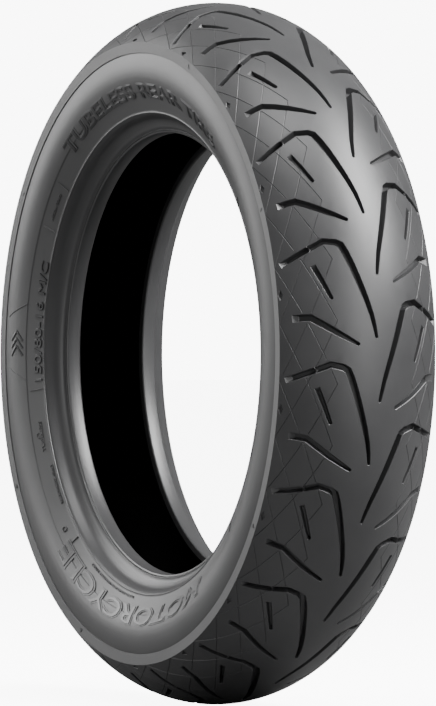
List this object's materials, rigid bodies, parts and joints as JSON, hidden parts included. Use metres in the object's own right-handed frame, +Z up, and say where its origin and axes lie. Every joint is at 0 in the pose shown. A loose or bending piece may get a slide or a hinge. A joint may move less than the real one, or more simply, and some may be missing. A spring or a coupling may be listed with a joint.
{
  "type": "motorcycle tire",
  "caption": "Rear motorcycle tire with a rounded tread of angled grooves, moulded sidewalls and wire-cored beads for a tubeless rim.",
  "frame": {"origin": "the wheel's centre, on the wheel axis and in the tread's middle plane", "axes": "+Y along the wheel axis towards the side called right, +Z up, +X level"},
  "size_m": [0.6464, 0.1566, 0.6464],
  "materials": {
    "tread_rubber": "moulded black tread rubber",
    "sidewall_rubber": "satin black moulded sidewall rubber",
    "rim_rubber": "smooth hard rubber of the bead foot",
    "lining_rubber": "smooth airtight lining",
    "filler_rubber": "hard bead filler compound",
    "ply_cord": "rubberised cord",
    "belt_cord": "rubberised belt cord",
    "chafer_cord": "rubberised square-woven fabric",
    "bead_steel": "bronze-coated steel wire"
  },
  "bodies": {
    "root": {"inner_liner": "lining_rubber", "carcass_ply_inner": "ply_cord", "carcass_ply_outer": "ply_cord", "belt_inner": "belt_cord", "belt_outer": "belt_cord", "tread_base": "tread_rubber", "tread_cap": "tread_rubber", "bead_core_left": "bead_steel", "bead_wrap_left": "filler_rubber", "bead_filler_left": "filler_rubber", "chafer_left": "chafer_cord", "belt_edge_strip_left": "filler_rubber", "shoulder_band_left": "sidewall_rubber", "rim_strip_left": "rim_rubber", "sidewall_left": "sidewall_rubber", "bead_core_right": "bead_steel", "bead_wrap_right": "filler_rubber", "bead_filler_right": "filler_rubber", "chafer_right": "chafer_cord", "belt_edge_strip_right": "filler_rubber", "shoulder_band_right": "sidewall_rubber", "rim_strip_right": "rim_rubber", "sidewall_right": "sidewall_rubber"}
  },
  "joints": []
}
